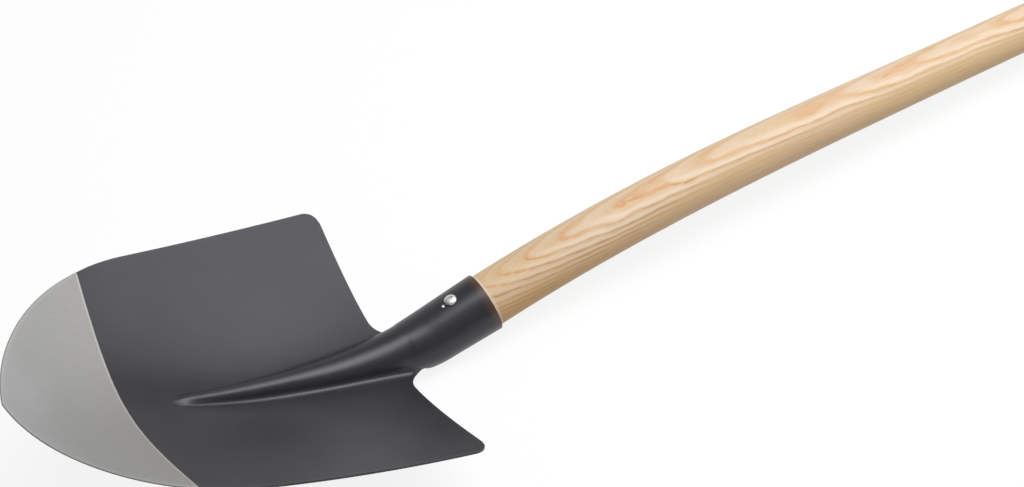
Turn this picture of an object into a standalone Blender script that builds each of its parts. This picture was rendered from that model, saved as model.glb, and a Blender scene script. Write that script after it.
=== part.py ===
"""Pointed shovel: a pressed sheet blade with its rolled socket, a crooked ash handle, a screw and a pin."""

import math
from collections import namedtuple

import bmesh
import bpy
import numpy as np
from mathutils import Matrix, Vector

# Sizes are in metres. The tool is drawn level: X runs from the point to the handle, Y is across, Z is up.

# Sheet
SHEET = 0.0018
CLEARANCE = 0.0003

# Blade outline, half of it, seen from above
BLADE_LENGTH = 0.2717
SHOULDER_HALF = 0.1266
POINT_LENGTH = 0.1153
POINT_HALF = 0.1089
POINT_PULL = 0.0639
POINT_SLANT = math.radians(11.4)
SIDE_PULL = 0.0567
SIDE_BOW = 0.0011
CORNER_RADIUS = 0.0115
SHOULDER_SWEEP = 0.0080
NOTCH_RADIUS = 0.0160
NOTCH_HALF = 0.0210
FOOT_SHARE = 0.34

# Dish of the blade
DISH_DEPTH = 0.0374
DISH_ROUND = 0.0621
POINT_LIFT = 0.0133
REAR_LIFT = 0.0121
FLAT_X = 0.1022
SAG_DEPTH = 0.0057
SAG_FROM_X = 0.0587
SAG_TO_X = 0.2926
SAG_ROUND = 0.0550

# Ground edge and the line where the coat ends
COAT_X = 0.0801
COAT_SNAP = 0.0004
GROUND_WIDTH = 0.0030
GROUND_DROP = 0.0005
GROUND_EDGE = 0.0008
GROUND_FADE = 0.0120

# Hollow ridge that stiffens the blade
RIDGE_TIP_X = 0.1090
RIDGE_START = -0.0010
RIDGE_MID_X = 0.2540
RIDGE_MID_Z = 0.0063
RIDGE_RUN = 0.0150
RIDGE_NOSE = 0.0200
RIDGE_NOSE_X = 0.1220
NOSE_END_X = 0.1360
RIDGE_ROUND = 0.0180
RIDGE_BLUNT = 0.22
RIDGE_GROWTH = 1.1
RIDGE_FILLET = 0.0045
FILLET_SHARE = 0.35
CREST_SHARE = 0.65
CREST_WIDE_X = 0.1900
NECK_TILT = math.radians(10.0)
TILT_START_X = 0.2500

# Rolled socket
SOCKET_LIFT = math.radians(38.1)
MOUTH_X = 0.3463
MOUTH_Z = 0.0600
MOUTH_RADIUS = 0.0225
SOCKET_TAPER = 0.0300
CREST_JOIN = 0.0385
SEAM_START = 0.0280
SEAM_GAP = 0.0020
FLAP_TURN = math.radians(70.0)
FLAP_CURL = math.radians(10.0)
FLAP_FREE = 0.30

# Handle
HANDLE_LENGTH = 1.2200
HANDLE_RISE = 0.0003
HANDLE_LIFT = SOCKET_LIFT + math.radians(0.7)
MOUTH_CHAMFER = 0.0015
HANDLE_SEAT = 0.0720
HANDLE_SEAT_TAPER = 0.0480
SEAT_CLEARANCE = 0.0006
SEAT_NARROWING = 0.0040
NECK_RADIUS = 0.0203
BEND_RADIUS = 0.0204
GRIP_RADIUS = 0.0191
BEND_LENGTH = 0.3800
BEND_ANGLE = math.radians(12.7)
SWELL_AT = 0.1500
GRIP_AT = 0.5000
BUTT_ROUND = 0.0060
SHARP_ANGLE = math.radians(40.0)
END_REACH = 0.1000

# Screw and pin
SCREW_AT = 0.0238
SCREW_TURN = math.radians(5.0)
SCREW_HEAD = 0.0047
SCREW_DOME = 0.0024
SCREW_SHANK = 0.0022
SCREW_LENGTH = 0.0220
RECESS_ARM = 0.0022
RECESS_WIDTH = 0.0008
RECESS_DEPTH = 0.0012
RECESS_ANGLE = math.radians(20.0)
PIN_AT = 0.0308
PIN_TURN = math.radians(1.5)
PIN_HEAD = 0.0012
PIN_SHANK = 0.0009
PIN_STAND = 0.0009
PIN_BEVEL = 0.0003
PIN_LENGTH = 0.0160
SHANK_SHARE = 0.8

# Mesh fineness, and how rows crowd towards the foot of the ridge
CROWN_STEPS = 11
CROWN_CROWDING = 1.2
WING_STEPS = 10
WING_CROWDING = 1.15
NOSE_ROWS = 4
RIDGE_ROWS = 9
NECK_ROWS = 4
NECK_EASE = 1.5
FLAP_ROWS = 10
SEAM_ROWS = 3
SEAT_STEPS = 6
BEND_STEPS = 22
GRIP_STEPS = 8
HANDLE_ROUND = 8
BUTT_STEPS = 3
TURNED_SIDES = 24
DOME_STEPS = 6
CURVE_SAMPLES = 240
SIDE_SAMPLES = 80
ARC_SAMPLES = 24
LINE_SAMPLES = 2600
TILT_ROUNDS = 8
REST_ROUNDS = 12
MERGE = 0.00001


def clear_scene():
    for item in list(bpy.data.objects):
        bpy.data.objects.remove(item)


def collection(name):
    group = bpy.data.collections.new(name)
    bpy.context.scene.collection.children.link(group)
    return group


def material(name, colour, roughness, metallic):
    finish = bpy.data.materials.new(name)
    finish.use_nodes = True
    shader = finish.node_tree.nodes["Principled BSDF"]
    shader.inputs["Base Color"].default_value = (*colour, 1.0)
    shader.inputs["Roughness"].default_value = roughness
    shader.inputs["Metallic"].default_value = metallic
    return finish


def smooth(t):
    t = min(max(t, 0.0), 1.0)
    return t * t * (3.0 - 2.0 * t)


def bezier(points, samples=CURVE_SAMPLES):
    a, b, c, d = (np.array(p, float) for p in points)
    t = np.linspace(0.0, 1.0, samples)[:, None]
    return (1 - t) ** 3 * a + 3 * (1 - t) ** 2 * t * b + 3 * (1 - t) * t * t * c + t ** 3 * d


def quarter_turn(start, corner, end, first, last):
    """Part of the round that joins two straight edges which meet at corner."""
    t = np.linspace(first, last, ARC_SAMPLES)[:, None] * math.pi / 2
    start, corner, end = (np.array(p, float) for p in (start, corner, end))
    centre = start + end - corner
    return centre + (corner - end) * np.cos(t) + (corner - start) * np.sin(t)


def lengths(line):
    return np.concatenate([[0.0], np.cumsum(np.hypot(*np.diff(line, axis=0).T))])


def along(line, distance):
    run = lengths(line)
    return np.array([np.interp(distance, run, line[:, 0]), np.interp(distance, run, line[:, 1])])


def side_curve():
    """Half outline from the point to the middle of the rounded shoulder corner."""
    run = BLADE_LENGTH - POINT_LENGTH
    slope = (SHOULDER_HALF - POINT_HALF + 4 * SIDE_BOW) / run
    heading = np.array([1.0, slope]) / math.hypot(1.0, slope)
    joint = np.array([POINT_LENGTH, POINT_HALF])
    pull = POINT_PULL * np.array([math.sin(POINT_SLANT), math.cos(POINT_SLANT)])
    point = bezier([(0, 0), pull, joint - SIDE_PULL * heading, joint])
    t = np.linspace(0.0, 1.0, SIDE_SAMPLES)[1:]
    side = np.column_stack([POINT_LENGTH + run * t,
                            POINT_HALF + (SHOULDER_HALF - POINT_HALF) * t + 4 * SIDE_BOW * t * (1 - t)])
    side = side[side[:, 0] < BLADE_LENGTH - CORNER_RADIUS]
    corner = np.array([BLADE_LENGTH, SHOULDER_HALF])
    arc = quarter_turn(side[-1], corner, corner_exit(), 0.0, 0.5)
    return np.vstack([point, side, arc[1:]])


def corner_exit():
    """Where the rounded corner ends on the shoulder edge."""
    heading = np.array([SHOULDER_SWEEP, NOTCH_HALF - SHOULDER_HALF])
    heading /= np.hypot(*heading)
    return np.array([BLADE_LENGTH, SHOULDER_HALF]) + CORNER_RADIUS * heading


def shoulder_curve():
    """Edge from the foot of the neck, on the round of the notch, to the middle of the shoulder corner."""
    edge_x = BLADE_LENGTH + SHOULDER_SWEEP
    notch = quarter_turn((edge_x + NOTCH_RADIUS, NOTCH_HALF), (edge_x, NOTCH_HALF),
                         (edge_x, NOTCH_HALF + NOTCH_RADIUS), FOOT_SHARE, 1.0)
    side = side_curve()
    start = side[side[:, 0] < BLADE_LENGTH - CORNER_RADIUS][-1]
    arc = quarter_turn(corner_exit(), (BLADE_LENGTH, SHOULDER_HALF), start, 0.0, 0.5)
    return np.vstack([notch, arc])


def dish(x, y):
    """Height of the plain dished blade."""
    full = math.hypot(1.0, SHOULDER_HALF / DISH_ROUND) - 1.0
    across = DISH_DEPTH * (math.hypot(1.0, y / DISH_ROUND) - 1.0) / full
    front = POINT_LIFT * max(0.0, (FLAT_X - x) / FLAT_X) ** 2
    rear = REAR_LIFT * max(0.0, (x - FLAT_X) / (BLADE_LENGTH - FLAT_X)) ** 2
    run = min(max((x - SAG_FROM_X) / (SAG_TO_X - SAG_FROM_X), 0.0), 1.0)
    sag = SAG_DEPTH * math.sin(math.pi * run) ** 2 * math.exp(-(y / SAG_ROUND) ** 2)
    return across + front + rear - sag


SOCKET_AXIS = np.array([math.cos(SOCKET_LIFT), 0.0, math.sin(SOCKET_LIFT)])
SOCKET_UP = np.array([-math.sin(SOCKET_LIFT), 0.0, math.cos(SOCKET_LIFT)])
ACROSS = np.array([0.0, 1.0, 0.0])
MOUTH = np.array([MOUTH_X, 0.0, MOUTH_Z])
SIDE = side_curve()
SHOULDER = shoulder_curve()


def socket_radius(depth):
    return MOUTH_RADIUS - SOCKET_TAPER * depth


def crest_curve():
    """Top line of the ridge, which runs into the top line of the socket."""
    end = MOUTH - CREST_JOIN * SOCKET_AXIS + socket_radius(CREST_JOIN) * SOCKET_UP
    finish = np.array([end[0], end[2]])
    top = SOCKET_AXIS + SOCKET_TAPER * SOCKET_UP
    pull = finish - RIDGE_RUN * np.array([top[0], top[2]])
    return bezier([(RIDGE_TIP_X, RIDGE_START), (RIDGE_MID_X, RIDGE_MID_Z), pull, finish])


CREST = crest_curve()
Neck = namedtuple("Neck", "crest_x tilt depth foot_z arcs")
JOIN_X = CREST[-1, 0]
NECK_FOOT_X, NECK_HALF = SHOULDER[0]


def crest_height(x):
    return np.interp(x, CREST[:, 0], CREST[:, 1])


def ridge_half(x):
    """Half width of the ridge at its foot."""
    t = max(0.0, (x - RIDGE_TIP_X) / (NECK_FOOT_X - RIDGE_TIP_X))
    start = min(max((x - RIDGE_TIP_X) / RIDGE_ROUND, 0.0), 1.0)
    taper = RIDGE_BLUNT + (1.0 - RIDGE_BLUNT) * t ** RIDGE_GROWTH
    return NECK_HALF * taper * math.sqrt(start * (2.0 - start))


def ridge_height(x):
    """Height of the ridge over its foot."""
    rise = crest_height(x) - dish(x, ridge_half(x))
    return max(rise, 0.0) * smooth((x - RIDGE_TIP_X) / RIDGE_NOSE)


def arcs(x, half, height):
    """Crown radius, fillet radius, and the length and angle of the straight flank between them."""
    total = (half * half + height * height) / (2.0 * height)
    fillet = min(RIDGE_FILLET, FILLET_SHARE * half)
    widening = smooth((x - CREST_WIDE_X) / (NECK_FOOT_X - CREST_WIDE_X))
    crown = min(total - fillet, (CREST_SHARE + (1.0 - CREST_SHARE) * widening) * half)
    both = crown + fillet
    flank = math.sqrt(max(0.0, 2.0 * height * (total - both)))
    turn = math.atan2(height - both, half) + math.atan2(both, flank)
    return crown, fillet, flank, turn


def section_point(crown, fillet, flank, turn, share, fraction):
    """Point of a cross-section, as its distance from the middle and its drop from the crest."""
    reach = fraction * (crown * turn + flank + fillet * turn * share)
    angle = min(reach / crown, turn)
    down = min(reach - crown * angle, flank)
    back = turn - (reach - crown * angle - down) / fillet
    out = crown * math.sin(angle) + down * math.cos(turn) + fillet * (math.sin(turn) - math.sin(back))
    drop = crown * (1.0 - math.cos(angle)) + down * math.sin(turn) + fillet * (math.cos(back) - math.cos(turn))
    return out, drop


def bump(x, y):
    """Height of the ridge over its foot at a point of its rounded nose."""
    half, height = ridge_half(x), ridge_height(x)
    if height < MERGE or y >= half:
        return 0.0
    crown, fillet, flank, turn = arcs(x, half, height)
    if y <= crown * math.sin(turn):
        return height - crown + math.sqrt(crown * crown - y * y)
    down = y - crown * math.sin(turn)
    if down <= flank * math.cos(turn):
        return height - crown * (1.0 - math.cos(turn)) - down * math.tan(turn)
    return fillet - math.sqrt(max(0.0, fillet * fillet - (half - y) ** 2))


def nose_point(row, fraction):
    """Point of the rounded front end of the ridge: its rows turn from the outline to square rows."""
    share = row / NOSE_ROWS
    foot_x = RIDGE_NOSE_X + (NOSE_END_X - RIDGE_NOSE_X) * share
    crest_x = RIDGE_TIP_X + (NOSE_END_X - RIDGE_TIP_X) * share
    back = 1.0 - math.cos(fraction * math.pi / 2)
    x = crest_x + (foot_x - crest_x) * back
    outline = ridge_half(RIDGE_TIP_X + (foot_x - RIDGE_TIP_X) * back)
    straight = section_point(*arcs(foot_x, ridge_half(foot_x), ridge_height(foot_x)), 1.0, fraction)[0]
    y = (1.0 - share) * outline + share * straight
    return ridge_place(x, y, bump(x, y))


def ridge_place(x, y, rise):
    """A ridge point that leans on the dished blade by its foot."""
    foot = dish(x, ridge_half(x))
    height = ridge_height(x)
    lean = 1.0 - rise / height if height > MERGE else 1.0
    return Vector((x, y, foot + rise + lean * (dish(x, y) - foot)))


def ridge_rows():
    """Stations of the straight ridge rows."""
    run = TILT_START_X - NOSE_END_X
    return [NOSE_END_X + run * k / RIDGE_ROWS for k in range(1, RIDGE_ROWS + 1)]


def neck_section(step):
    """A row on the way to the neck, which tilts back so that its crest lies ahead of its foot."""
    share = step / NECK_ROWS
    foot_x = TILT_START_X + (NECK_FOOT_X - TILT_START_X) * share
    tilt = NECK_TILT * share
    foot_z = dish(foot_x, ridge_half(foot_x))
    depth = 0.0
    for _ in range(TILT_ROUNDS):
        crest_x = foot_x - depth * math.sin(tilt)
        depth = (crest_height(crest_x) - foot_z) / math.cos(tilt)
    return Neck(crest_x, tilt, depth, foot_z, arcs(foot_x, ridge_half(foot_x), depth))


def tilted_place(crest_x, tilt, out, drop):
    z = crest_height(crest_x) - drop * math.cos(tilt)
    return Vector((crest_x + drop * math.sin(tilt), out, z))


def neck_point(step, fraction):
    neck = neck_section(step)
    out, drop = section_point(*neck.arcs, 1.0, fraction)
    place = tilted_place(neck.crest_x, neck.tilt, out, drop)
    place.z += drop / neck.depth * (dish(place.x, out) - neck.foot_z)
    return place


def flap_point(step, fraction):
    """Point of the stretch where the sides of the neck roll round into the socket."""
    share = step / FLAP_ROWS
    neck = neck_section(NECK_ROWS)
    crown, fillet, flank, turn = neck.arcs
    crown += (socket_radius(CREST_JOIN) - crown) * share * (2.0 - share)
    turn += FLAP_TURN * share + FLAP_CURL * share ** 3
    left = max(0.0, 1.0 - share / FLAP_FREE)
    crest_x = neck.crest_x + (JOIN_X - neck.crest_x) * share
    out, drop = section_point(crown, fillet, flank * (1.0 - share), turn, left, fraction)
    return tilted_place(crest_x, neck.tilt + (SOCKET_LIFT - neck.tilt) * share, out, drop)


def socket_rows():
    """Depths of the rows of the closed socket, and how far each side is rolled round."""
    start = neck_section(NECK_ROWS).arcs[-1] + FLAP_TURN + FLAP_CURL
    depths = [0.5 * (CREST_JOIN + SEAM_START)]
    depths += [SEAM_START * (1.0 - k / SEAM_ROWS) for k in range(SEAM_ROWS + 1)]
    rows = []
    for depth in depths:
        closed = math.pi - 0.5 * SEAM_GAP / socket_radius(depth)
        share = smooth((CREST_JOIN - depth) / (CREST_JOIN - SEAM_START))
        rows.append((depth, start + (closed - start) * share))
    return rows


def on_socket(depth, radius, turn):
    """A place on or round the socket, turned from its top line."""
    place = MOUTH - depth * SOCKET_AXIS + radius * (math.cos(turn) * SOCKET_UP + math.sin(turn) * ACROSS)
    return Vector(place)


def crown_rows():
    """Every row of the ridge and socket, as a function of the fraction from crest to edge."""
    rows = [lambda f, k=k: nose_point(k, f) for k in range(NOSE_ROWS + 1)]
    for x in ridge_rows():
        height = ridge_height(x)
        parts = arcs(x, ridge_half(x), height)
        rows.append(lambda f, x=x, p=parts, h=height: straight_point(x, p, h, f))
    rows += [lambda f, k=k: neck_point(k, f) for k in range(1, NECK_ROWS + 1)]
    rows += [lambda f, k=k: flap_point(k, f) for k in range(1, FLAP_ROWS + 1)]
    for depth, turn in socket_rows():
        rows.append(lambda f, d=depth, t=turn: on_socket(d, socket_radius(d), f * t))
    return rows


def straight_point(x, parts, height, fraction):
    out, drop = section_point(*parts, 1.0, fraction)
    return ridge_place(x, out, height - drop)


def shaped_grid(bm, rows, columns, place):
    """A flat grid whose corners are moved to place(row, column)."""
    made = bmesh.ops.create_grid(bm, x_segments=rows, y_segments=columns, size=0.5)
    for vert in made["verts"]:
        row = round((vert.co.x + 0.5) * rows)
        column = round((vert.co.y + 0.5) * columns)
        vert.co = place(row, column)


def wing_share(step, length):
    """Spacing across the wing: close at the ridge, and one narrow strip along the ground edge."""
    if step == WING_STEPS:
        return 1.0
    return (step / (WING_STEPS - 1)) ** WING_CROWDING * (1.0 - GROUND_WIDTH / length)


def ground(x):
    """One along the ground edge, nothing on the coated sides."""
    return 1.0 - smooth((x - COAT_X) / GROUND_FADE)


def blade_mesh():
    rows = crown_rows()
    wing_rows = NOSE_ROWS + RIDGE_ROWS + NECK_ROWS
    bm = bmesh.new()
    crown = {}

    def crown_place(row, column):
        fraction = 1.0 - (1.0 - column / CROWN_STEPS) ** CROWN_CROWDING
        crown[row, column] = rows[row](fraction)
        return crown[row, column]

    shaped_grid(bm, len(rows) - 1, CROWN_STEPS, crown_place)

    run = lengths(SIDE)
    fan_end = np.interp(crown[NOSE_ROWS, CROWN_STEPS].x, SIDE[:, 0], run)
    side_end = np.interp(TILT_START_X, SIDE[:, 0], run)
    shoulder_run = lengths(SHOULDER)[-1]
    fan = CROWN_STEPS + NOSE_ROWS

    def wing_place(row, column):
        inner = crown[0, row] if row <= CROWN_STEPS else crown[row - CROWN_STEPS, CROWN_STEPS]
        if row <= fan:
            outer = along(SIDE, fan_end * row / fan)
        elif row <= fan + RIDGE_ROWS:
            outer = along(SIDE, np.interp(inner.x, SIDE[:, 0], run))
        else:
            outer = along(SIDE, side_end + (run[-1] - side_end) * (row - fan - RIDGE_ROWS) / NECK_ROWS)
        start = np.array([inner.x, inner.y])
        share = wing_share(column, np.hypot(*(outer - start)))
        x, y = start + (outer - start) * share
        bend = max(0.0, (row - fan - RIDGE_ROWS) / NECK_ROWS) ** NECK_EASE
        chord = SHOULDER[0] + (SHOULDER[-1] - SHOULDER[0]) * share
        x, y = np.array([x, y]) + bend * (along(SHOULDER, shoulder_run * share) - chord)
        z = dish(x, y)
        if column == WING_STEPS:
            z -= GROUND_DROP * ground(x)
        return inner if column == 0 else Vector((x, y, z))

    shaped_grid(bm, CROWN_STEPS + wing_rows, WING_STEPS, wing_place)
    bmesh.ops.remove_doubles(bm, verts=bm.verts, dist=MERGE)
    whole = bm.verts[:] + bm.edges[:] + bm.faces[:]
    bmesh.ops.mirror(bm, geom=whole, matrix=Matrix.Identity(4), merge_dist=MERGE, axis="Y")
    bmesh.ops.bisect_plane(bm, geom=bm.verts[:] + bm.edges[:] + bm.faces[:], dist=COAT_SNAP,
                           plane_co=(COAT_X, 0, 0), plane_no=(1, 0, 0))
    bmesh.ops.recalc_face_normals(bm, faces=bm.faces)
    up = sum(face.normal.z * face.calc_area() for face in bm.faces)
    if up < 0:
        bmesh.ops.reverse_faces(bm, faces=bm.faces)
    for face in bm.faces:
        face.material_index = 1 if face.calc_center_median().x < COAT_X else 0
    bm.verts.index_update()
    thin = {v.index: ground(v.co.x) for v in bm.verts if v.is_boundary and v.co.x < COAT_X + GROUND_FADE}
    mesh = bpy.data.meshes.new("blade_and_socket")
    bm.to_mesh(mesh)
    bm.free()
    return mesh, thin


def turned_piece(name, profile, group, finish):
    """A piece turned about its own Z axis, from a profile of radius and height, top to bottom."""
    mesh = bpy.data.meshes.new(name)
    bm = bmesh.new()
    points = [bm.verts.new((radius, 0.0, height)) for radius, height in profile]
    for first, second in zip(points, points[1:]):
        bm.edges.new((first, second))
    bm.to_mesh(mesh)
    bm.free()
    piece = bpy.data.objects.new(name, mesh)
    group.objects.link(piece)
    turn = piece.modifiers.new("turn", "SCREW")
    turn.steps = turn.render_steps = TURNED_SIDES
    turn.use_merge_vertices = True
    turn.merge_threshold = MERGE
    mesh.materials.append(finish)
    return piece


def cut(piece, cutter, name):
    step = piece.modifiers.new(name, "BOOLEAN")
    step.operation = "DIFFERENCE"
    step.solver = "EXACT"
    step.object = cutter


def cutter_object(name, bm, group, place):
    mesh = bpy.data.meshes.new(name)
    bm.to_mesh(mesh)
    bm.free()
    cutter = bpy.data.objects.new(name, mesh)
    cutter.matrix_world = place
    cutter.hide_render = True
    cutter.display_type = "WIRE"
    group.objects.link(cutter)
    return cutter


def drill(name, radius, length, group, place):
    bm = bmesh.new()
    bmesh.ops.create_cone(bm, cap_ends=True, segments=TURNED_SIDES, radius1=radius, radius2=radius,
                          depth=2 * length)
    return cutter_object(name, bm, group, place)


def socket_frame(depth, turn, radius):
    """Placement of a fastener that stands square on the socket."""
    outward = on_socket(0.0, 1.0, turn) - Vector(MOUTH)
    forward = Vector(SOCKET_AXIS)
    side = outward.cross(forward)
    turned = Matrix((forward, side, outward)).transposed().to_4x4()
    return Matrix.Translation(on_socket(depth, radius, turn)) @ turned


def handle_angle(distance):
    """Slope of the handle: straight in the socket, easing off over the bend, then straight."""
    left = 1.0 - np.clip(distance / BEND_LENGTH, 0.0, 1.0)
    return HANDLE_LIFT - BEND_ANGLE * (1.0 - left * left)


def handle_radius(distance):
    if distance <= 0.0:
        seat = socket_radius(-distance) - SHEET - SEAT_CLEARANCE
        narrow = smooth((-distance - HANDLE_SEAT + HANDLE_SEAT_TAPER) / HANDLE_SEAT_TAPER)
        return min(NECK_RADIUS, seat) - SEAT_NARROWING * narrow
    if distance <= SWELL_AT:
        return NECK_RADIUS + (BEND_RADIUS - NECK_RADIUS) * smooth(distance / SWELL_AT)
    return BEND_RADIUS + (GRIP_RADIUS - BEND_RADIUS) * smooth((distance - SWELL_AT) / (GRIP_AT - SWELL_AT))


def handle_line():
    """Middle line of the handle with its radius, from the end in the socket to the butt."""
    run = np.linspace(-HANDLE_SEAT, HANDLE_LENGTH, LINE_SAMPLES)
    slope = handle_angle(0.5 * (run[1:] + run[:-1]))
    step = run[1] - run[0]
    forward = np.concatenate([[0.0], np.cumsum(np.cos(slope)) * step])
    upward = np.concatenate([[0.0], np.cumsum(np.sin(slope)) * step])
    mouth = MOUTH + HANDLE_RISE * SOCKET_UP
    forward += mouth[0] - np.interp(0.0, run, forward)
    upward += mouth[2] - np.interp(0.0, run, upward)
    stations = np.concatenate([np.linspace(-HANDLE_SEAT, 0.0, SEAT_STEPS + 1),
                               np.linspace(MOUTH_CHAMFER, GRIP_AT, BEND_STEPS),
                               np.linspace(GRIP_AT, HANDLE_LENGTH, GRIP_STEPS + 1)[1:]])
    return [((np.interp(s, run, forward), 0.0, np.interp(s, run, upward)), handle_radius(s)) for s in stations]


def make_handle(group, finish):
    line = handle_line()
    curve = bpy.data.curves.new("handle_line", "CURVE")
    curve.dimensions = "3D"
    curve.bevel_depth = 1.0
    curve.bevel_resolution = HANDLE_ROUND
    curve.use_fill_caps = True
    curve.twist_mode = "Z_UP"
    spline = curve.splines.new("POLY")
    spline.points.add(len(line) - 1)
    for point, (place, radius) in zip(spline.points, line):
        point.co = (*place, 1.0)
        point.radius = radius
    rough = bpy.data.objects.new("handle_line", curve)
    group.objects.link(rough)
    bpy.context.view_layer.update()
    mesh = bpy.data.meshes.new_from_object(rough.evaluated_get(bpy.context.evaluated_depsgraph_get()))
    bpy.data.objects.remove(rough)
    bm = bmesh.new()
    bm.from_mesh(mesh)
    bmesh.ops.remove_doubles(bm, verts=bm.verts, dist=MERGE)
    bmesh.ops.recalc_face_normals(bm, faces=bm.faces)
    ends = [face for face in bm.faces if len(face.verts) > 4]
    rims = [edge for face in ends for edge in face.edges]
    bmesh.ops.bevel(bm, geom=rims, offset=BUTT_ROUND, segments=BUTT_STEPS, profile=0.5, affect="EDGES", material=-1)
    bm.to_mesh(mesh)
    bm.free()
    mesh.materials.clear()
    mesh.materials.append(finish)
    mesh.shade_smooth()
    mesh.set_sharp_from_angle(angle=SHARP_ANGLE)
    piece = bpy.data.objects.new("handle", mesh)
    group.objects.link(piece)
    return piece


def make_blade(group, coat, bare):
    mesh, thin = blade_mesh()
    mesh.materials.append(coat)
    mesh.materials.append(bare)
    mesh.shade_smooth()
    blade = bpy.data.objects.new("blade_and_socket", mesh)
    group.objects.link(blade)
    full = blade.vertex_groups.new(name="wall")
    full.add(list(range(len(mesh.vertices))), 1.0, "REPLACE")
    for index, share in thin.items():
        full.add([index], 1.0 + (GROUND_EDGE / SHEET - 1.0) * share, "REPLACE")
    wall = blade.modifiers.new("wall", "SOLIDIFY")
    wall.thickness = SHEET
    wall.offset = -1.0
    wall.use_even_offset = True
    wall.use_quality_normals = True
    wall.vertex_group = "wall"
    return blade


def make_screw(group, cutters, finish):
    profile = [(SCREW_HEAD * math.sin(a), SCREW_DOME * math.cos(a)) for a in
               (math.pi / 2 * k / DOME_STEPS for k in range(DOME_STEPS + 1))]
    profile += [(SCREW_SHANK, 0.0), (SCREW_SHANK, -SHANK_SHARE * SCREW_LENGTH), (0.0, -SCREW_LENGTH)]
    screw = turned_piece("socket_screw", profile, group, finish)
    place = socket_frame(SCREW_AT, SCREW_TURN, socket_radius(SCREW_AT) + CLEARANCE)
    screw.matrix_world = place
    for name, angle in (("recess_a", RECESS_ANGLE), ("recess_b", RECESS_ANGLE + math.pi / 2)):
        bm = bmesh.new()
        scale = Matrix.Diagonal((2 * RECESS_ARM, RECESS_WIDTH, 2 * RECESS_DEPTH, 1.0))
        bmesh.ops.create_cube(bm, size=1.0, matrix=scale)
        turned = Matrix.Translation((0, 0, SCREW_DOME)) @ Matrix.Rotation(angle, 4, "Z")
        cut(screw, cutter_object(name, bm, cutters, place @ turned), name)
    return screw, drill("screw_drill", SCREW_SHANK + CLEARANCE, SCREW_LENGTH + CLEARANCE, cutters, place)


def make_pin(group, cutters, finish):
    profile = [(0.0, PIN_STAND), (PIN_HEAD - PIN_BEVEL, PIN_STAND), (PIN_HEAD, PIN_STAND - PIN_BEVEL),
               (PIN_HEAD, 0.0), (PIN_SHANK, 0.0), (PIN_SHANK, -SHANK_SHARE * PIN_LENGTH), (0.0, -PIN_LENGTH)]
    pin = turned_piece("socket_pin", profile, group, finish)
    place = socket_frame(PIN_AT, PIN_TURN, socket_radius(PIN_AT) + CLEARANCE)
    pin.matrix_world = place
    return pin, drill("pin_drill", PIN_SHANK + CLEARANCE, PIN_LENGTH + CLEARANCE, cutters, place)


def world_corners(piece):
    shape = piece.evaluated_get(bpy.context.evaluated_depsgraph_get())
    return np.array([piece.matrix_world @ vert.co for vert in shape.data.vertices])


def lay_down(blade, handle, pieces, group):
    """Parent all to one empty, and lay the tool on the back of its socket and the end of its handle."""
    heel, butt = world_corners(blade), world_corners(handle)
    butt = butt[butt[:, 0] > butt[:, 0].max() - END_REACH]
    slope = 0.0
    for _ in range(REST_ROUNDS):
        low, far = (cloud[np.argmin(cloud[:, 2] - slope * cloud[:, 0])] for cloud in (heel, butt))
        slope = (far[2] - low[2]) / (far[0] - low[0])
    turned = Matrix.Rotation(math.atan(slope), 4, "Y")
    cloud = np.vstack([world_corners(piece) for piece in pieces]) @ np.array(turned.to_3x3()).T
    low, high = cloud.min(axis=0), cloud.max(axis=0)
    middle = 0.5 * (low + high)
    lying = bpy.data.objects.new("lying", None)
    lying.matrix_world = Matrix.Translation((-middle[0], -middle[1], -low[2])) @ turned
    group.objects.link(lying)
    return lying


def main():
    clear_scene()
    shovel = collection("pointed_shovel")
    cutters = collection("cutters")
    coat = material("anthracite_coat", (0.085, 0.085, 0.092), 0.42, 0.0)
    bare = material("ground_steel", (0.46, 0.45, 0.43), 0.34, 1.0)
    ash = material("ash_wood", (0.66, 0.47, 0.30), 0.55, 0.0)
    zinc = material("zinc", (0.72, 0.72, 0.70), 0.30, 1.0)
    blade = make_blade(shovel, coat, bare)
    handle = make_handle(shovel, ash)
    screw, screw_drill = make_screw(shovel, cutters, zinc)
    pin, pin_drill = make_pin(shovel, cutters, zinc)
    for piece in (blade, handle):
        cut(piece, screw_drill, "screw hole")
        cut(piece, pin_drill, "pin hole")
    bpy.context.view_layer.update()
    pieces = [blade, handle, screw, pin]
    lying = lay_down(blade, handle, pieces, shovel)
    for piece in pieces + [item for item in cutters.objects]:
        piece.parent = lying
    bpy.context.view_layer.update()


main()
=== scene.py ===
"""Builds a pointed shovel on a pale floor: pressed blade with socket, ash handle, screw and pin."""

import math
from collections import namedtuple

import bmesh
import bpy
import numpy as np
from mathutils import Euler, Matrix, Vector


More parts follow.
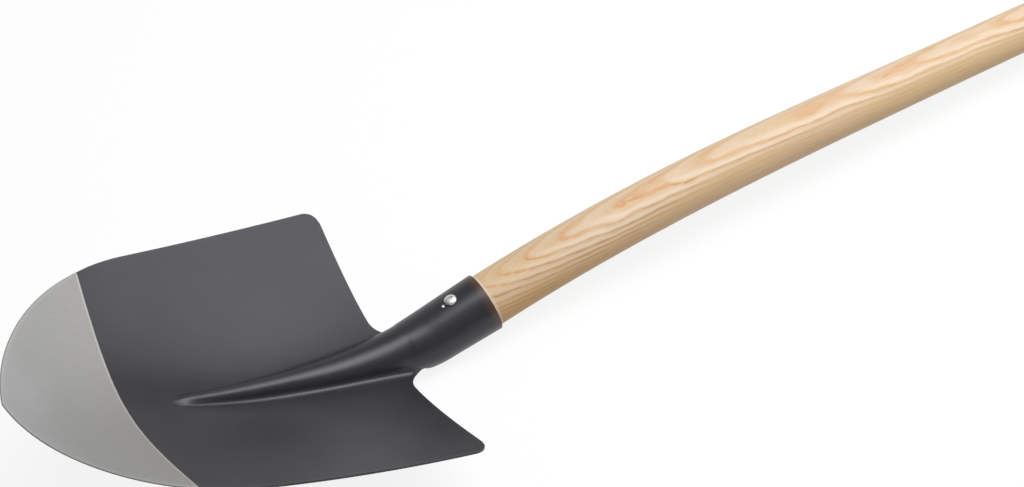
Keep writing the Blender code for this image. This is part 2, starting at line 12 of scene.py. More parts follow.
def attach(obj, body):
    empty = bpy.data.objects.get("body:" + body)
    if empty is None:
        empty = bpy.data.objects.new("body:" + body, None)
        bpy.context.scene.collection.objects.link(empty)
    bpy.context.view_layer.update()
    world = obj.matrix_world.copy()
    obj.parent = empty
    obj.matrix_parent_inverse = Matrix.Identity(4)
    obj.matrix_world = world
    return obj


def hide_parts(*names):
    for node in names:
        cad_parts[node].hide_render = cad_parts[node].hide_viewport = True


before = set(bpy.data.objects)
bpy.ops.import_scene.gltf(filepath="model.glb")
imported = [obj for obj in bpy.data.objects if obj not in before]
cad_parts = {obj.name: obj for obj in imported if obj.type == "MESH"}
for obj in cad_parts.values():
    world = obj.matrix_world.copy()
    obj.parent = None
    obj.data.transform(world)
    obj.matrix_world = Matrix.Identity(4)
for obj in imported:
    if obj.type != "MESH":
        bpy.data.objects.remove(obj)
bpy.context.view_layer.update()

bl_info = {
    "name": "Pointed shovel",
    "version": (1, 0, 0),
    "blender": (4, 5, 0),
    "location": "3D View > Sidebar > Shovel",
    "description": "Builds a pointed shovel: pressed blade, bent wooden handle, screw and pin",
    "category": "Add Mesh",
}


def colour(red, green, blue):
    """A colour in linear light."""
    return (red, green, blue, 1.0)


# Sizes in metres, in the tool's own level frame: X from the point to the handle, Y across, Z up

# Where the level tool lies on the floor
LYING_TURN = math.radians(27.822627)
LYING_SHIFT = (-0.7793790, 0.0, 0.1360158)

# Sheet and blade outline
SHEET = 0.0018
BLADE_LENGTH = 0.2717
SHOULDER_HALF = 0.1266
POINT_LENGTH = 0.1153
POINT_HALF = 0.1089
POINT_PULL = 0.0639
POINT_SLANT = math.radians(11.4)
SIDE_PULL = 0.0567
SIDE_BOW = 0.0011
CORNER_RADIUS = 0.0115
SHOULDER_SWEEP = 0.0080
NOTCH_RADIUS = 0.0160
NOTCH_HALF = 0.0210
FOOT_SHARE = 0.34
DISH_DEPTH = 0.0374
DISH_ROUND = 0.0621
POINT_LIFT = 0.0133
REAR_LIFT = 0.0121
FLAT_X = 0.1022
SAG_DEPTH = 0.0057
SAG_FROM_X = 0.0587
SAG_TO_X = 0.2926
SAG_ROUND = 0.0550

# Ground tip
COAT_X = 0.0801
GROUND_WIDTH = 0.0030
GROUND_DROP = 0.0005
GROUND_EDGE = 0.0008
GROUND_FADE = 0.0120

# Hollow ridge
RIDGE_TIP_X = 0.1070
RIDGE_START = -0.0010
RIDGE_MID_X = 0.2540
RIDGE_MID_Z = 0.0063
RIDGE_RUN = 0.0150
RIDGE_NOSE = 0.0200
RIDGE_NOSE_X = 0.1220
NOSE_END_X = 0.1360
RIDGE_ROUND = 0.0180
RIDGE_BLUNT = 0.22
RIDGE_GROWTH = 1.1
RIDGE_FILLET = 0.0055
FILLET_SHARE = 0.40
CREST_SHARE = 0.65
CREST_WIDE_X = 0.1900
NECK_TILT = math.radians(10.0)
TILT_START_X = 0.2500

# Rolled socket
SOCKET_LIFT = math.radians(38.1)
MOUTH_X = 0.3463
MOUTH_Z = 0.0600
MOUTH_RADIUS = 0.0225
SOCKET_TAPER = 0.0300
CREST_JOIN = 0.0385
SEAM_START = 0.0280
SEAM_GAP = 0.0020
FLAP_TURN = math.radians(70.0)
FLAP_CURL = math.radians(10.0)
FLAP_FREE = 0.30

# Handle
HANDLE_LENGTH = 1.2200
HANDLE_RISE = 0.0003
HANDLE_LIFT = SOCKET_LIFT + math.radians(0.7)
MOUTH_CHAMFER = 0.0015
HANDLE_SEAT = 0.0720
HANDLE_SEAT_TAPER = 0.0480
SEAT_CLEARANCE = 0.0006
SEAT_NARROWING = 0.0040
NECK_RADIUS = 0.0203
BEND_RADIUS = 0.0204
GRIP_RADIUS = 0.0191
BEND_LENGTH = 0.3800
BEND_ANGLE = math.radians(12.7)
SWELL_AT = 0.1500
GRIP_AT = 0.5000
BUTT_ROUND = 0.0060

# How the grain runs out of the handle: slope at the socket, where it eases off, slope beyond
GRAIN_STEEP = 0.115
GRAIN_REACH = 0.075
GRAIN_SLOW = 0.034

# How far the rings sway, ripple and fray, where the first one lies, and the depth of the relief
RING_SWAY = 0.0080
RING_RIPPLE = 0.0018
RING_FRAY = 0.0014
RING_START = -0.0010
WOOD_RELIEF = 0.00012

# Patterns of the wood: cells per metre along, across and up
SWAY_SCALE = (8.0, 22.0, 22.0)
RIPPLE_SCALE = (48.0, 110.0, 110.0)
FRAY_SCALE = (30.0, 800.0, 800.0)
PATCH_SCALE = (22.0, 90.0, 90.0)
PORE_SCALE = (60.0, 3200.0, 3200.0)
FIBRE_SCALE = (14.0, 900.0, 900.0)
BAND_SCALE = (6.0, 60.0, 60.0)

# Dark part of a ring, as spans: where each starts and ends and, if not 0 and 1, its values there
EARLY_RISE = (0.0, 0.09)
EARLY_FALL = (0.09, 0.36, 1.0, 0.0)
EARLY_PATCH = (0.36, 0.62, 0.40, 1.0)
EARLY_ACROSS = (-0.006, 0.004, 1.0, 0.45)

# How much the dark part changes from year to year, and its least strength
EARLY_SEASON = (0.60, 0.40)

# Pale part of a ring: within it, across the handle, by how far it faces up, and along the handle
PALE_RISE = (0.22, 0.48)
PALE_FALL = (0.60, 0.98, 1.0, 0.0)
PALE_ACROSS = (-0.012, 0.001, 1.0, 0.55)
PALE_FACING = (0.10, 0.80, 0.25, 1.0)
PALE_ALONG = (0.0, 0.10, 0.35, 1.0)

# Where the rings show best, where the underside near the socket gets its painted shade, where the
# top gets its painted sheen, and where its cut end is pale
FACE_ALONG = (0.06, 0.20, -0.6, 0.58)
FACE_FULL = 0.92
UNDER_SHADE_FACING = (0.25, 0.80, 1.0, 0.0)
UNDER_SHADE_ALONG = (0.02, 0.20, 0.80, 0.0)
TOP_SHEEN_FACING = (0.30, 0.85, 0.0, 0.20)
TOP_FACING = (0.70, 0.97)
CUT_ALONG = (0.0012, 0.0032, 0.65, 0.0)

# How strongly the pale part, the dark part, the pores and the fibres show, then the wood's gloss
PALE_SHARE = (0.80, 0.05)
EARLY_SHARE = (0.90, 0.12)
PORE_SHARE = 0.55
PORE_SPREAD = 0.15
FIBRE_SHARE = 0.45
WOOD_SPECULAR = 0.28
WOOD_VARIETY = 0.12

# Screw and pin
CLEARANCE = 0.0003
SCREW_AT = 0.0238
SCREW_TURN = math.radians(5.0)
SCREW_HEAD = 0.0047
SCREW_DOME = 0.0024
SCREW_SHANK = 0.0022
SCREW_LENGTH = 0.0220
RECESS_ARM = 0.0022
RECESS_WIDTH = 0.0011
RECESS_DEPTH = 0.0018
RECESS_ANGLE = math.radians(20.0)
PIN_AT = 0.0308
PIN_TURN = math.radians(1.5)
PIN_HEAD = 0.0012
PIN_SHANK = 0.0009
PIN_STAND = 0.0009
PIN_LENGTH = 0.0160
PIN_SOFTNESS = 0.4
PIN_CORNER = 0.3
SHANK_STRAIGHT = 0.8

# The coat's ragged edge, the pale line just ahead of it, and the brown painted reflection of the
# wood on the rim of the mouth
COAT_RAGGED = 0.0008
COAT_FADE = 0.0003
LIP_START = -0.0016
LIP_END = -0.0006
REFLECTION_START = 0.0005
REFLECTION_END = 0.0075
REFLECTION_RAGGED = 0.0040

# Depth of the coat's waves, of its grain, and of its edge and the grinding marks
COAT_WAVE = 0.0006
COAT_GRAIN = 0.00008
COAT_STEP = 0.00012

# Patterns of the coat and the steel: cells per metre, for the marks along, across and up
RAGGED_SCALE = 900.0
CLOUD_SCALE = 22.0
SPECK_SCALE = 1500.0
REFLECTION_SCALE = 300.0
WAVE_SCALE = 26.0
DRIFT_SCALE = 20.0
MARK_SCALE = (160.0, 2600.0, 600.0)

# How strongly each pattern shows
SPECK_SHARE = 0.35
RIM_SHARE = 0.20
# Share of the brown painted reflection of the wood on the coat at the mouth
REFLECTION_SHARE = 0.90
MARK_SHARE = 0.30
LIP_SHARE = 0.40
# Strength of the painted shade along the cutting edge
EDGE_SHADE_SHARE = 0.65

# Where the steel's colour changes behind the point and how far that drifts, then where on the rim
# the painted shade of the cutting edge lies
FRONT_SPAN = (0.008, 0.045)
REAR_SPAN = (0.050, 0.080)
STEEL_DRIFT = 0.05
EDGE_SHADE_SPAN = (0.72, 0.92)

# How metallic the steel is, the gloss of the coat, and how far the roughness of both varies
STEEL_METAL = 0.5
COAT_SPECULAR = 0.55
COAT_VARIETY = 0.10
STEEL_VARIETY = 0.18

# Colours of the coat
COAT_DARK = colour(0.018, 0.018, 0.020)
COAT_LIGHT = colour(0.023, 0.023, 0.025)
COAT_SPECK = colour(0.013, 0.013, 0.014)
COAT_RIM = colour(0.060, 0.060, 0.063)
# Brown painted reflection of the wood on the coat near the mouth
COAT_WOOD_REFLECTION = colour(0.085, 0.045, 0.026)
COAT_GLOSS = colour(0.91, 0.91, 1.0)

# Colours of the ground tip, from the point to the coat, then its marks, lip, rim and the painted
# shade along its cutting edge
STEEL_FRONT = colour(0.374, 0.374, 0.380)
STEEL_MIDDLE = colour(0.332, 0.329, 0.316)
STEEL_REAR = colour(0.330, 0.324, 0.308)
STEEL_MARK = colour(0.245, 0.242, 0.232)
STEEL_LIP = colour(0.62, 0.61, 0.58)
STEEL_RIM = colour(0.62, 0.62, 0.60)
STEEL_EDGE_SHADE = colour(0.09, 0.09, 0.09)

# Colours of the ash
ASH_GOLD = colour(0.655, 0.455, 0.245)
ASH_PINK = colour(0.680, 0.470, 0.290)
ASH_FIBRE = colour(0.570, 0.375, 0.200)
# A paler tone painted on the top as a sheen, and a deeper one painted on the underside near the
# socket as shade
ASH_TOP_SHEEN = colour(0.645, 0.520, 0.395)
ASH_UNDER_SHADE = colour(0.600, 0.360, 0.155)
ASH_PALE = colour(0.745, 0.610, 0.485)
ASH_EARLY_SIDE = colour(0.335, 0.170, 0.070)
ASH_EARLY_TOP = colour(0.650, 0.290, 0.110)
ASH_PORE = colour(0.300, 0.165, 0.075)
ASH_CUT = colour(0.810, 0.690, 0.570)

# Zinc: its colours, the depth of its relief, its patterns in cells per metre, its change in gloss
ZINC_LIGHT = colour(0.88, 0.88, 0.87)
ZINC_DARK = colour(0.76, 0.77, 0.78)
ZINC_RELIEF = 0.00005
ZINC_BLOOM_SCALE = 1400.0
ZINC_CLOUD_SCALE = 700.0
ZINC_RELIEF_SCALE = 2600.0
ZINC_VARIETY = 0.20

# Floor: its colour as it is seen and as it lights the tool, its fine pattern and its gloss
FLOOR_SEEN = (colour(0.90, 0.90, 0.90), colour(0.915, 0.915, 0.915))
FLOOR_BOUNCE = colour(0.55, 0.55, 0.55)
FLOOR_SCALE = 60.0
FLOOR_ROUGHNESS = 0.75
FLOOR_VARIETY = 0.1
FLOOR_SPECULAR = 0.1
WHITE = colour(1.0, 1.0, 1.0)

# Camera at the photograph's place, its turn in degrees and its sensor in millimetres
CAMERA_PLACE = (-0.7785592, -0.5992917, 0.8423138)
CAMERA_TURN = (42.292060, 1.187710, -32.111967)
SENSOR_WIDTH = 36.0

# Half side of the floor and its cells along one side
FLOOR_HALF = 40.0
FLOOR_CELLS = 8

# Soft lamps: where each stands and looks, the direction of its long side, and its two sides
Lamp = namedtuple("Lamp", "name place target run size")
KEY = Lamp("key", (1.0, -0.05, 1.55), (-0.55, 0.0, 0.08), (0.0, 1.0, 0.0), (1.6, 1.3))
STRIP = Lamp("strip", (0.125, -0.243, 1.66), (-0.3, -0.1, 0.05), (-0.85, 0.525, 0.0), (1.75, 0.80))
WALL = Lamp("wall", (0.3, 2.4, 0.7), (-0.5, 0.0, 0.1), (1.0, 0.0, 0.0), (3.2, 1.2))

# Mesh fineness
CROWN_STEPS = 22
CROWN_CROWDING = 1.2
WING_STEPS = 24
WING_CROWDING = 1.15
NOSE_ROWS = 10
RIDGE_ROWS = 24
NECK_ROWS = 12
NECK_EASE = 1.5
FLAP_ROWS = 20
SEAM_ROWS = 8
EDGE_STEPS = 2
EDGE_ANGLE = math.radians(50.0)
HANDLE_SIDES = 72
SEAT_ROWS = 16
HANDLE_ROWS = 300
TURNED_SIDES = 48
DOME_STEPS = 12
FLAT_RINGS = (0.60, 0.25, 0.0)
CURVE_SAMPLES = 400
SIDE_SAMPLES = 160
ARC_SAMPLES = 40
LINE_SAMPLES = 2600
TILT_ROUNDS = 8
SHARP_ANGLE = math.radians(40.0)
MERGE = 0.000005

# What the panel offers to change
STAGE_SWITCHES = ("key_power", "strip_power", "wall_power", "sky", "floor_glow", "lens")
FINISH_SWITCHES = ("coat_colour", "coat_roughness", "steel_colour", "steel_roughness", "edge_round",
                   "wood_colour", "wood_roughness", "ring_width", "zinc_colour", "zinc_roughness")


def smooth(t):
    t = min(max(t, 0.0), 1.0)
    return t * t * (3.0 - 2.0 * t)


def bezier(points):
    a, b, c, d = (np.array(p, float) for p in points)
    t = np.linspace(0.0, 1.0, CURVE_SAMPLES)[:, None]
    return (1 - t) ** 3 * a + 3 * (1 - t) ** 2 * t * b + 3 * (1 - t) * t * t * c + t ** 3 * d


def quarter_turn(start, corner, end, first, last):
    """Part of the round that joins two straight edges which meet at corner."""
    t = np.linspace(first, last, ARC_SAMPLES)[:, None] * math.pi / 2
    start, corner, end = (np.array(p, float) for p in (start, corner, end))
    return start + end - corner + (corner - end) * np.cos(t) + (corner - start) * np.sin(t)


def lengths(line):
    return np.concatenate([[0.0], np.cumsum(np.hypot(*np.diff(line, axis=0).T))])


def along(line, distance):
    run = lengths(line)
    return np.array([np.interp(distance, run, line[:, 0]), np.interp(distance, run, line[:, 1])])


def side_curve():
    """Half outline from the point to the middle of the rounded shoulder corner."""
    run = BLADE_LENGTH - POINT_LENGTH
    slope = (SHOULDER_HALF - POINT_HALF + 4 * SIDE_BOW) / run
    heading = np.array([1.0, slope]) / math.hypot(1.0, slope)
    joint = np.array([POINT_LENGTH, POINT_HALF])
    pull = POINT_PULL * np.array([math.sin(POINT_SLANT), math.cos(POINT_SLANT)])
    point = bezier([(0, 0), pull, joint - SIDE_PULL * heading, joint])
    t = np.linspace(0.0, 1.0, SIDE_SAMPLES)[1:]
    widening = (SHOULDER_HALF - POINT_HALF) * t + 4 * SIDE_BOW * t * (1 - t)
    side = np.column_stack([POINT_LENGTH + run * t, POINT_HALF + widening])
    side = side[side[:, 0] < BLADE_LENGTH - CORNER_RADIUS]
    arc = quarter_turn(side[-1], (BLADE_LENGTH, SHOULDER_HALF), corner_exit(), 0.0, 0.5)
    return np.vstack([point, side, arc[1:]])


def corner_exit():
    """Where the rounded corner ends on the shoulder edge."""
    heading = np.array([SHOULDER_SWEEP, NOTCH_HALF - SHOULDER_HALF])
    heading /= np.hypot(*heading)
    return np.array([BLADE_LENGTH, SHOULDER_HALF]) + CORNER_RADIUS * heading


def shoulder_curve():
    """Edge from the foot of the neck, round the notch, to the middle of the shoulder corner."""
    edge_x = BLADE_LENGTH + SHOULDER_SWEEP
    notch = quarter_turn((edge_x + NOTCH_RADIUS, NOTCH_HALF), (edge_x, NOTCH_HALF),
                         (edge_x, NOTCH_HALF + NOTCH_RADIUS), FOOT_SHARE, 1.0)
    side = side_curve()
    start = side[side[:, 0] < BLADE_LENGTH - CORNER_RADIUS][-1]
    arc = quarter_turn(corner_exit(), (BLADE_LENGTH, SHOULDER_HALF), start, 0.0, 0.5)
    return np.vstack([notch, arc])


def dish(x, y):
    """Height of the plain dished blade."""
    full = math.hypot(1.0, SHOULDER_HALF / DISH_ROUND) - 1.0
    across = DISH_DEPTH * (math.hypot(1.0, y / DISH_ROUND) - 1.0) / full
    front = POINT_LIFT * max(0.0, (FLAT_X - x) / FLAT_X) ** 2
    rear = REAR_LIFT * max(0.0, (x - FLAT_X) / (BLADE_LENGTH - FLAT_X)) ** 2
    run = min(max((x - SAG_FROM_X) / (SAG_TO_X - SAG_FROM_X), 0.0), 1.0)
    sag = SAG_DEPTH * math.sin(math.pi * run) ** 2 * math.exp(-(y / SAG_ROUND) ** 2)
    return across + front + rear - sag


SOCKET_AXIS = np.array([math.cos(SOCKET_LIFT), 0.0, math.sin(SOCKET_LIFT)])
SOCKET_UP = np.array([-math.sin(SOCKET_LIFT), 0.0, math.cos(SOCKET_LIFT)])
ACROSS = np.array([0.0, 1.0, 0.0])
MOUTH = np.array([MOUTH_X, 0.0, MOUTH_Z])
SIDE = side_curve()
SHOULDER = shoulder_curve()
NECK_FOOT_X, NECK_HALF = SHOULDER[0]


def socket_radius(depth):
    return MOUTH_RADIUS - SOCKET_TAPER * depth


def crest_curve():
    """Top line of the ridge, which runs into the top line of the socket."""
    end = MOUTH - CREST_JOIN * SOCKET_AXIS + socket_radius(CREST_JOIN) * SOCKET_UP
    finish = np.array([end[0], end[2]])
    top = SOCKET_AXIS + SOCKET_TAPER * SOCKET_UP
    pull = finish - RIDGE_RUN * np.array([top[0], top[2]])
    return bezier([(RIDGE_TIP_X, RIDGE_START), (RIDGE_MID_X, RIDGE_MID_Z), pull, finish])


CREST = crest_curve()
JOIN_X = CREST[-1, 0]
Neck = namedtuple("Neck", "crest_x tilt depth foot_z arcs")


def crest_height(x):
    return np.interp(x, CREST[:, 0], CREST[:, 1])


def ridge_half(x):
    """Half width of the ridge at its foot."""
    t = max(0.0, (x - RIDGE_TIP_X) / (NECK_FOOT_X - RIDGE_TIP_X))
    start = min(max((x - RIDGE_TIP_X) / RIDGE_ROUND, 0.0), 1.0)
    taper = RIDGE_BLUNT + (1.0 - RIDGE_BLUNT) * t ** RIDGE_GROWTH
    return NECK_HALF * taper * math.sqrt(start * (2.0 - start))


def ridge_height(x):
    """Height of the ridge over its foot."""
    rise = crest_height(x) - dish(x, ridge_half(x))
    return max(rise, 0.0) * smooth((x - RIDGE_TIP_X) / RIDGE_NOSE)


def arcs(x, half, height):
    """Crown radius, fillet radius, and the length and angle of the straight flank between them."""
    total = (half * half + height * height) / (2.0 * height)
    fillet = min(RIDGE_FILLET, FILLET_SHARE * half)
    widening = smooth((x - CREST_WIDE_X) / (NECK_FOOT_X - CREST_WIDE_X))
    crown = min(total - fillet, (CREST_SHARE + (1.0 - CREST_SHARE) * widening) * half)
    both = crown + fillet
    flank = math.sqrt(max(0.0, 2.0 * height * (total - both)))
    turn = math.atan2(height - both, half) + math.atan2(both, flank)
    return crown, fillet, flank, turn


def section_point(crown, fillet, flank, turn, share, fraction):
    """Point of a cross-section, as its distance from the middle and its drop from the crest."""
    reach = fraction * (crown * turn + flank + fillet * turn * share)
    angle = min(reach / crown, turn)
    down = min(reach - crown * angle, flank)
    back = turn - (reach - crown * angle - down) / fillet
    left = math.sin(turn) - math.sin(back)
    curl = math.cos(back) - math.cos(turn)
    out = crown * math.sin(angle) + down * math.cos(turn) + fillet * left
    drop = crown * (1.0 - math.cos(angle)) + down * math.sin(turn) + fillet * curl
    return out, drop


def bump(x, y):
    """Height of the ridge over its foot at a point of its rounded nose."""
    half, height = ridge_half(x), ridge_height(x)
    if height < MERGE or y >= half:
        return 0.0
    crown, fillet, flank, turn = arcs(x, half, height)
    if y <= crown * math.sin(turn):
        return height - crown + math.sqrt(crown * crown - y * y)
    down = y - crown * math.sin(turn)
    if down <= flank * math.cos(turn):
        return height - crown * (1.0 - math.cos(turn)) - down * math.tan(turn)
    return fillet - math.sqrt(max(0.0, fillet * fillet - (half - y) ** 2))


def ridge_place(x, y, rise):
    """A ridge point that leans on the dished blade by its foot."""
    foot = dish(x, ridge_half(x))
    height = ridge_height(x)
    lean = 1.0 - rise / height if height > MERGE else 1.0
    return Vector((x, y, foot + rise + lean * (dish(x, y) - foot)))


def nose_point(row, fraction):
    """Point of the rounded front end of the ridge, whose rows turn from its outline to square."""
    share = row / NOSE_ROWS
    foot_x = RIDGE_NOSE_X + (NOSE_END_X - RIDGE_NOSE_X) * share
    crest_x = RIDGE_TIP_X + (NOSE_END_X - RIDGE_TIP_X) * share
    back = 1.0 - math.cos(fraction * math.pi / 2)
    x = crest_x + (foot_x - crest_x) * back
    outline = ridge_half(RIDGE_TIP_X + (foot_x - RIDGE_TIP_X) * back)
    section = arcs(foot_x, ridge_half(foot_x), ridge_height(foot_x))
    y = (1.0 - share) * outline + share * section_point(*section, 1.0, fraction)[0]
    return ridge_place(x, y, bump(x, y))


def straight_point(x, fraction):
    height = ridge_height(x)
    out, drop = section_point(*arcs(x, ridge_half(x), height), 1.0, fraction)
    return ridge_place(x, out, height - drop)


def neck_section(step):
    """A row on the way to the neck, which tilts back so that its crest lies ahead of its foot."""
    share = step / NECK_ROWS
    foot_x = TILT_START_X + (NECK_FOOT_X - TILT_START_X) * share
    tilt = NECK_TILT * share
    foot_z = dish(foot_x, ridge_half(foot_x))
    depth = 0.0
    for _ in range(TILT_ROUNDS):
        crest_x = foot_x - depth * math.sin(tilt)
        depth = (crest_height(crest_x) - foot_z) / math.cos(tilt)
    return Neck(crest_x, tilt, depth, foot_z, arcs(foot_x, ridge_half(foot_x), depth))


def tilted_place(crest_x, tilt, out, drop):
    z = crest_height(crest_x) - drop * math.cos(tilt)
    return Vector((crest_x + drop * math.sin(tilt), out, z))


def neck_point(neck, fraction):
    out, drop = section_point(*neck.arcs, 1.0, fraction)
    place = tilted_place(neck.crest_x, neck.tilt, out, drop)
    place.z += drop / neck.depth * (dish(place.x, out) - neck.foot_z)
    return place


def flap_point(neck, share, fraction):
    """Point of the stretch where the sides of the neck roll round into the socket."""
    crown, fillet, flank, turn = neck.arcs
    crown += (socket_radius(CREST_JOIN) - crown) * share * (2.0 - share)
    turn += FLAP_TURN * share + FLAP_CURL * share ** 3
    left = max(0.0, 1.0 - share / FLAP_FREE)
    crest_x = neck.crest_x + (JOIN_X - neck.crest_x) * share
    out, drop = section_point(crown, fillet, flank * (1.0 - share), turn, left, fraction)
    return tilted_place(crest_x, neck.tilt + (SOCKET_LIFT - neck.tilt) * share, out, drop)


def on_socket(depth, radius, turn):
    """A place on or round the socket, turned from its top line."""
    outward = math.cos(turn) * SOCKET_UP + math.sin(turn) * ACROSS
    return Vector(MOUTH - depth * SOCKET_AXIS + radius * outward)


def crown_rows():
    """Every row of the ridge and socket, as a function of the fraction from crest to edge."""
    rows = [lambda f, k=k: nose_point(k, f) for k in range(NOSE_ROWS + 1)]
    for k in range(1, RIDGE_ROWS + 1):
        x = NOSE_END_X + (TILT_START_X - NOSE_END_X) * k / RIDGE_ROWS
        rows.append(lambda f, x=x: straight_point(x, f))
    necks = [neck_section(k) for k in range(1, NECK_ROWS + 1)]
    rows += [lambda f, n=n: neck_point(n, f) for n in necks]
    last = necks[-1]
    rows += [lambda f, k=k: flap_point(last, k / FLAP_ROWS, f) for k in range(1, FLAP_ROWS + 1)]
    start = last.arcs[-1] + FLAP_TURN + FLAP_CURL
    depths = [CREST_JOIN + (SEAM_START - CREST_JOIN) * k / SEAM_ROWS for k in range(1, SEAM_ROWS)]
    depths += [SEAM_START * (1.0 - k / SEAM_ROWS) for k in range(SEAM_ROWS + 1)]
    for depth in depths:
        closed = math.pi - 0.5 * SEAM_GAP / socket_radius(depth)
        turn = start + (closed - start) * smooth((CREST_JOIN - depth) / (CREST_JOIN - SEAM_START))
        rows.append(lambda f, d=depth, t=turn: on_socket(d, socket_radius(d), f * t))
    return rows


def shaped_grid(bm, rows, columns, place):
    """A flat grid whose corners are moved to place(row, column)."""
    made = bmesh.ops.create_grid(bm, x_segments=rows, y_segments=columns, size=0.5)
    for vert in made["verts"]:
        row = round((vert.co.x + 0.5) * rows)
        column = round((vert.co.y + 0.5) * columns)
        vert.co = place(row, column)


def ground(x):
    """One along the ground edge, nothing on the coated sides."""
    return 1.0 - smooth((x - COAT_X) / GROUND_FADE)


def blade_surface():
    """The upper face of the blade, ridge and socket, as one open sheet in the level frame."""
    rows = crown_rows()
    bm = bmesh.new()
    crown = {}

    def crown_place(row, column):
        fraction = 1.0 - (1.0 - column / CROWN_STEPS) ** CROWN_CROWDING
        crown[row, column] = rows[row](fraction)
        return crown[row, column]

    shaped_grid(bm, len(rows) - 1, CROWN_STEPS, crown_place)

    run = lengths(SIDE)
    fan_end = np.interp(crown[NOSE_ROWS, CROWN_STEPS].x, SIDE[:, 0], run)
    side_end = np.interp(TILT_START_X, SIDE[:, 0], run)
    shoulder_run = lengths(SHOULDER)[-1]
    fan = CROWN_STEPS + NOSE_ROWS

    def wing_place(row, column):
        inner = crown[0, row] if row <= CROWN_STEPS else crown[row - CROWN_STEPS, CROWN_STEPS]
        if column == 0:
            return inner
        if row <= fan:
            outer = along(SIDE, fan_end * row / fan)
        elif row <= fan + RIDGE_ROWS:
            outer = along(SIDE, np.interp(inner.x, SIDE[:, 0], run))
        else:
            past = (row - fan - RIDGE_ROWS) / NECK_ROWS
            outer = along(SIDE, side_end + (run[-1] - side_end) * past)
        start = np.array([inner.x, inner.y])
        strip = 1.0 - GROUND_WIDTH / np.hypot(*(outer - start))
        last = column == WING_STEPS
        share = 1.0 if last else strip * (column / (WING_STEPS - 1)) ** WING_CROWDING
        bend = max(0.0, (row - fan - RIDGE_ROWS) / NECK_ROWS) ** NECK_EASE
        chord = SHOULDER[0] + (SHOULDER[-1] - SHOULDER[0]) * share
        curve = along(SHOULDER, shoulder_run * share) - chord
        x, y = start + (outer - start) * share + bend * curve
        return Vector((x, y, dish(x, y) - (GROUND_DROP * ground(x) if last else 0.0)))

    shaped_grid(bm, CROWN_STEPS + NOSE_ROWS + RIDGE_ROWS + NECK_ROWS, WING_STEPS, wing_place)
    bmesh.ops.remove_doubles(bm, verts=bm.verts, dist=MERGE)
    whole = bm.verts[:] + bm.edges[:] + bm.faces[:]
    bmesh.ops.mirror(bm, geom=whole, matrix=Matrix.Identity(4), merge_dist=MERGE, axis="Y")
    bmesh.ops.recalc_face_normals(bm, faces=bm.faces)
    if sum(face.normal.z * face.calc_area() for face in bm.faces) < 0:
        bmesh.ops.reverse_faces(bm, faces=bm.faces)
    return bm


def handle_angle(distance):
    """Slope of the handle: straight in the socket, easing off over the bend, then straight."""
    left = 1.0 - np.clip(distance / BEND_LENGTH, 0.0, 1.0)
    return HANDLE_LIFT - BEND_ANGLE * (1.0 - left * left)


def handle_radius(distance):
    if distance <= 0.0:
        seat = socket_radius(-distance) - SHEET - SEAT_CLEARANCE
        narrow = smooth((-distance - HANDLE_SEAT + HANDLE_SEAT_TAPER) / HANDLE_SEAT_TAPER)
        return min(NECK_RADIUS, seat) - SEAT_NARROWING * narrow
    if distance <= SWELL_AT:
        return NECK_RADIUS + (BEND_RADIUS - NECK_RADIUS) * smooth(distance / SWELL_AT)
    share = smooth((distance - SWELL_AT) / (GRIP_AT - SWELL_AT))
    return BEND_RADIUS + (GRIP_RADIUS - BEND_RADIUS) * share


def handle_course():
    """Middle line of the handle: distances from the mouth, and the X, Z and slope at each."""
    run = np.linspace(-HANDLE_SEAT, HANDLE_LENGTH, LINE_SAMPLES)
    slope = handle_angle(run)
    between = handle_angle(0.5 * (run[1:] + run[:-1]))
    step = run[1] - run[0]
    forward = np.concatenate([[0.0], np.cumsum(np.cos(between)) * step])
    upward = np.concatenate([[0.0], np.cumsum(np.sin(between)) * step])
    mouth = MOUTH + HANDLE_RISE * SOCKET_UP
    forward += mouth[0] - np.interp(0.0, run, forward)
    upward += mouth[2] - np.interp(0.0, run, upward)
    return run, forward, upward, slope


def grain_climb(distance):
    """How far the grain has run out of the handle: quickly beside the socket, then slowly."""
    return GRAIN_STEEP * GRAIN_REACH * math.tanh(distance / GRAIN_REACH) + GRAIN_SLOW * distance


def rounded_end(distance, radius, sign):
    """Rows of one rounded end, from its side to the middle of its flat face."""
    rows = []
    for k in range(1, DOME_STEPS + 1):
        angle = math.pi / 2 * k / DOME_STEPS
        rows.append((distance + sign * BUTT_ROUND * (math.sin(angle) - 1.0),
                     radius - BUTT_ROUND * (1.0 - math.cos(angle))))
    rows += [(distance, (radius - BUTT_ROUND) * share) for share in FLAT_RINGS]
    return rows


